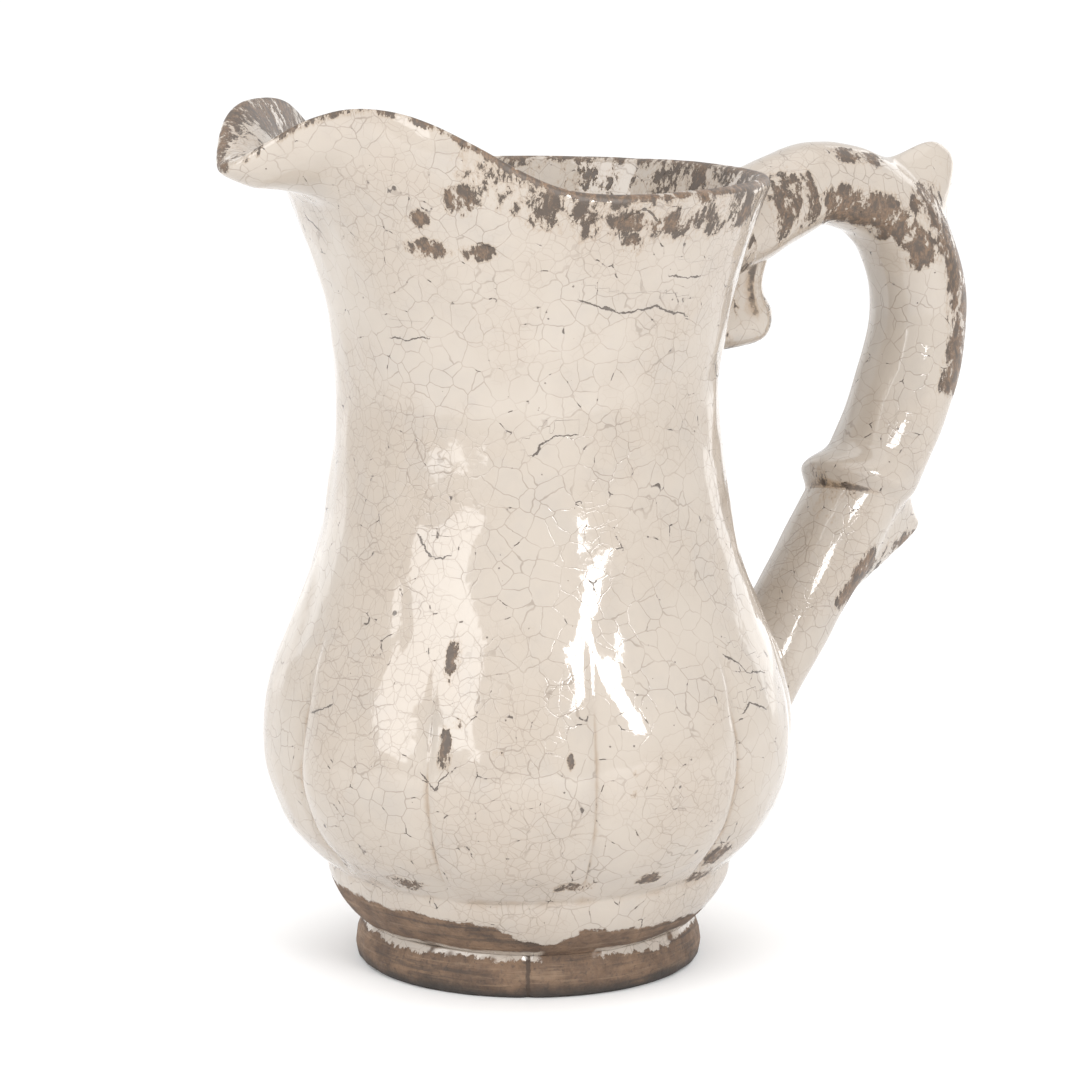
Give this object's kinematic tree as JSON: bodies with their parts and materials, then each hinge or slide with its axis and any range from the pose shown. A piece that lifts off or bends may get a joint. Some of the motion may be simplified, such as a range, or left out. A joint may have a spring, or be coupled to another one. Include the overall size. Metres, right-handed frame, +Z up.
{
  "type": "ceramic pitcher",
  "caption": "Glazed earthenware pitcher for pouring: a baluster vase with a lobed belly on a foot ring, a beaked spout and an applied scroll handle with a thumb rest.",
  "frame": {"origin": "centre of the foot ring on the resting plane", "axes": "+Z up; the spout points along -X and the handle along +X, so the handle lies in the XZ plane; +Y is the pitcher's width"},
  "size_m": [0.3042, 0.1852, 0.2993],
  "materials": {
    "crackle_glaze": "glossy ivory crackle glaze with brown wear",
    "bare_clay": "matte unglazed brown clay"
  },
  "bodies": {
    "root": {"foot_ring": "bare_clay", "base_slab": "bare_clay", "body": "crackle_glaze", "spout": "crackle_glaze", "handle": "crackle_glaze", "thumb_rest": "crackle_glaze", "handle_collar": "crackle_glaze", "handle_spur": "crackle_glaze", "drop_terminal": "crackle_glaze", "upper_luting": "crackle_glaze", "lower_luting": "crackle_glaze"}
  },
  "joints": []
}
